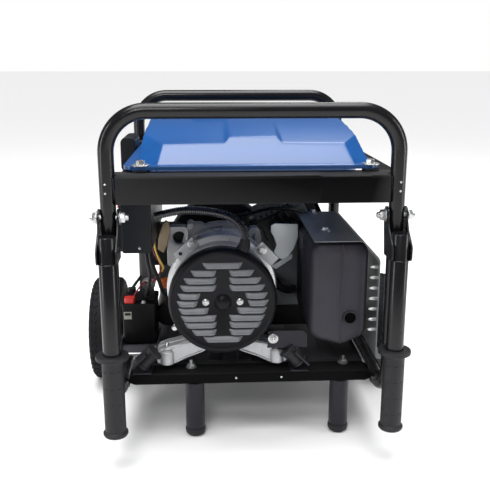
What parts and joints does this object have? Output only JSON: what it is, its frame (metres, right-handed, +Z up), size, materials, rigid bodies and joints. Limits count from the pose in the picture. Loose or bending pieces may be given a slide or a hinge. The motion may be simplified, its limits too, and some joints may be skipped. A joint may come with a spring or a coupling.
{
  "type": "portable generator",
  "caption": "Open-frame wheeled petrol generator: tube frame with a fuel tank on top, alternator and engine inside, muffler, battery, control box and folding lift handles.",
  "frame": {"origin": "on the ground under the middle of the bounding box", "axes": "+X to the right seen from the alternator end, +Y from the alternator end towards the recoil end, +Z up"},
  "size_m": [0.71, 0.7073, 0.6659],
  "materials": {
    "frame_black": "semi-gloss black powder coat",
    "tank_blue": "glossy blue enamel",
    "alloy": "cast and machined",
    "alternator_black": "satin black",
    "steel_grey": "dark grey enamel",
    "rubber": "matte black",
    "tyre": "matte black tread",
    "zinc": "bright zinc plate",
    "plastic": "fine grained black",
    "orange": "orange",
    "engine_iron": "grey casting"
  },
  "bodies": {
    "frame": {"front_hoop": "frame_black", "rear_hoop": "frame_black", "left_bottom_tube": "frame_black", "right_bottom_tube": "frame_black", "front_tank_crossmember": "frame_black", "rear_tank_crossmember": "frame_black", "left_upper_rail": "frame_black", "right_upper_rail": "frame_black", "front_base_rail": "frame_black", "rear_base_rail": "frame_black", "tank_upper_shell": "tank_blue", "tank_lower_shell": "tank_blue", "end_bell": "alloy", "cylinder": "alloy", "blower_housing": "alternator_black", "recoil_cover": "alternator_black", "rocker_cover": "alternator_black", "base_pan": "steel_grey", "muffler": "steel_grey", "heat_shield": "steel_grey", "battery_tray": "steel_grey", "control_panel_housing": "steel_grey", "stator_housing": "steel_grey", "left_foot_post": "rubber", "right_foot_post": "rubber", "left_foot_tip": "rubber", "right_foot_tip": "rubber", "front_left_mount": "rubber", "front_right_mount": "rubber", "rear_left_mount": "rubber", "rear_right_mount": "rubber", "axle": "zinc", "left_pivot_bolt": "zinc", "right_pivot_bolt": "zinc", "fuel_gauge": "plastic", "control_panel_face": "plastic", "duplex_outlet": "plastic", "twistlock_outlet": "plastic", "battery": "plastic", "end_cover": "plastic", "air_cleaner": "plastic", "cable_conduit": "plastic", "crankcase": "engine_iron"},
    "left_handle": {"left_handle": "frame_black", "left_grip": "rubber"},
    "right_handle": {"right_handle": "frame_black", "right_grip": "rubber"},
    "left_wheel": {"left_tyre": "tyre", "left_rim": "frame_black"},
    "right_wheel": {"right_tyre": "tyre", "right_rim": "frame_black"},
    "rotating_set": {"rotor": "engine_iron", "flywheel": "engine_iron"},
    "fuel_cap": {"fuel_cap": "plastic"},
    "fuel_valve_lever": {"fuel_valve_lever": "plastic"},
    "choke_lever": {"choke_lever": "plastic"},
    "engine_switch": {"engine_switch": "plastic"},
    "recoil_grip": {"recoil_grip": "plastic"},
    "oil_cap": {"oil_dipstick": "orange"}
  },
  "joints": [
    {"name": "left_handle_pivot", "type": "hinge", "parent": "frame", "child": "left_handle", "pos_m": [-0.256, -0.286, 0.467], "axis": [-1, 0, 0], "range_deg": [0, 95]},
    {"name": "right_handle_pivot", "type": "hinge", "parent": "frame", "child": "right_handle", "pos_m": [0.256, -0.286, 0.467], "axis": [-1, 0, 0], "range_deg": [0, 95]},
    {"name": "left_wheel_spin", "type": "hinge", "parent": "frame", "child": "left_wheel", "pos_m": [-0.318, 0.097, 0.119], "axis": [1, 0, 0], "continuous": true},
    {"name": "right_wheel_spin", "type": "hinge", "parent": "frame", "child": "right_wheel", "pos_m": [0.318, 0.097, 0.119], "axis": [1, 0, 0], "continuous": true},
    {"name": "crank_spin", "type": "hinge", "parent": "frame", "child": "rotating_set", "pos_m": [-0.055, 0, 0.284], "axis": [0, 1, 0], "continuous": true},
    {"name": "fuel_cap_twist", "type": "hinge", "parent": "frame", "child": "fuel_cap", "pos_m": [-0.077, 0.06, 0.615], "axis": [0, 0, 1], "range_deg": [0, 90]},
    {"name": "fuel_valve_turn", "type": "hinge", "parent": "frame", "child": "fuel_valve_lever", "pos_m": [-0.036, 0.15, 0.458], "axis": [1, 0, 0], "range_deg": [0, 90]},
    {"name": "choke_turn", "type": "hinge", "parent": "frame", "child": "choke_lever", "pos_m": [-0.16, 0.03, 0.308], "axis": [0, 1, 0], "range_deg": [-60, 0]},
    {"name": "engine_switch_rock", "type": "hinge", "parent": "frame", "child": "engine_switch", "pos_m": [-0.252, -0.138, 0.468], "axis": [0, 1, 0], "range_deg": [0, 12]},
    {"name": "recoil_pull", "type": "slide", "parent": "frame", "child": "recoil_grip", "axis": [0, 1, 0], "range_m": [0, 0.45], "stiffness_N_per_m": 25},
    {"name": "oil_cap_twist", "type": "hinge", "parent": "frame", "child": "oil_cap", "pos_m": [-0.18, 0.06, 0.238], "axis": [1, 0, 0], "range_deg": [0, 270]}
  ]
}
